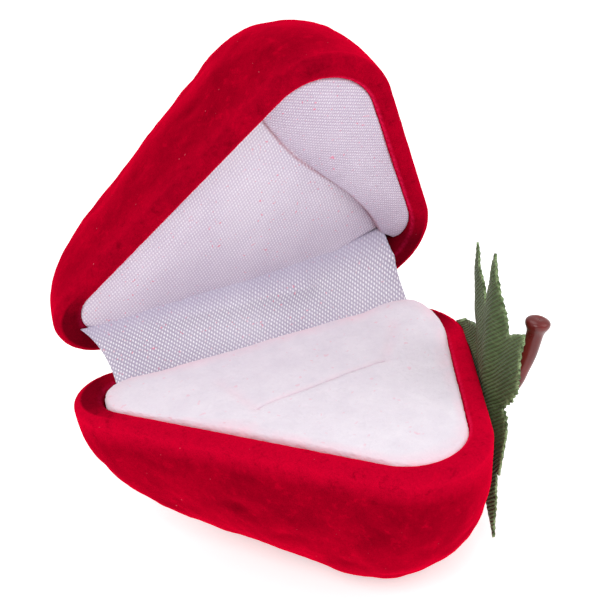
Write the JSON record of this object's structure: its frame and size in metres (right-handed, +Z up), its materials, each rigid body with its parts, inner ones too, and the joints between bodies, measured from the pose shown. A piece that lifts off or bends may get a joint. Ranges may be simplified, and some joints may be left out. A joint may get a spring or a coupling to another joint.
{
  "type": "ring box",
  "caption": "Hinged velvet ring box in the shape of a strawberry, with a slotted white cushion, a satin-lined lid, and a cloth calyx with a stem.",
  "frame": {"origin": "centre of the flat foot on the underside of the lower half", "axes": "+X along the hinge towards the stem end, -Y to the front, +Z up, with the lid open as in the source image"},
  "size_m": [0.0648, 0.0658, 0.0724],
  "materials": {
    "shell": "moulded, hidden under velvet",
    "velvet": "short-pile red velvet with pressed seed dimples",
    "hinge_steel": "plain sheet and wire",
    "weight_steel": "plain",
    "card": "grey board",
    "foam": "soft foam",
    "flock": "white flock with a faint pink tint",
    "satin": "lilac-white satin",
    "wadding": "soft wadding",
    "leaf_cloth": "green ribbed ribbon cloth with cut edges",
    "stem_plastic": "glossy brown-red"
  },
  "bodies": {
    "base": {"base_shell": "shell", "base_velvet": "velvet", "base_weight": "weight_steel", "base_hinge_leaf": "hinge_steel", "base_hinge_rivets": "hinge_steel", "hinge_pin": "hinge_steel", "pad_board": "card", "ring_foam": "foam", "pad_cover": "flock", "calyx": "leaf_cloth", "stem": "stem_plastic", "satin_strip": "satin"},
    "lid": {"lid_shell": "shell", "lid_velvet": "velvet", "lid_hinge_leaf": "hinge_steel", "lid_hinge_rivets": "hinge_steel", "lid_board": "card", "lid_wadding": "wadding", "lid_satin": "satin", "lid_end_panel": "satin"}
  },
  "joints": [
    {"name": "lid_hinge", "type": "hinge", "parent": "base", "child": "lid", "pos_m": [-0.00729, 0.02109, 0.02559], "axis": [1, 0, 0], "range_deg": [0, 70], "deforming": ["satin_strip"]}
  ]
}
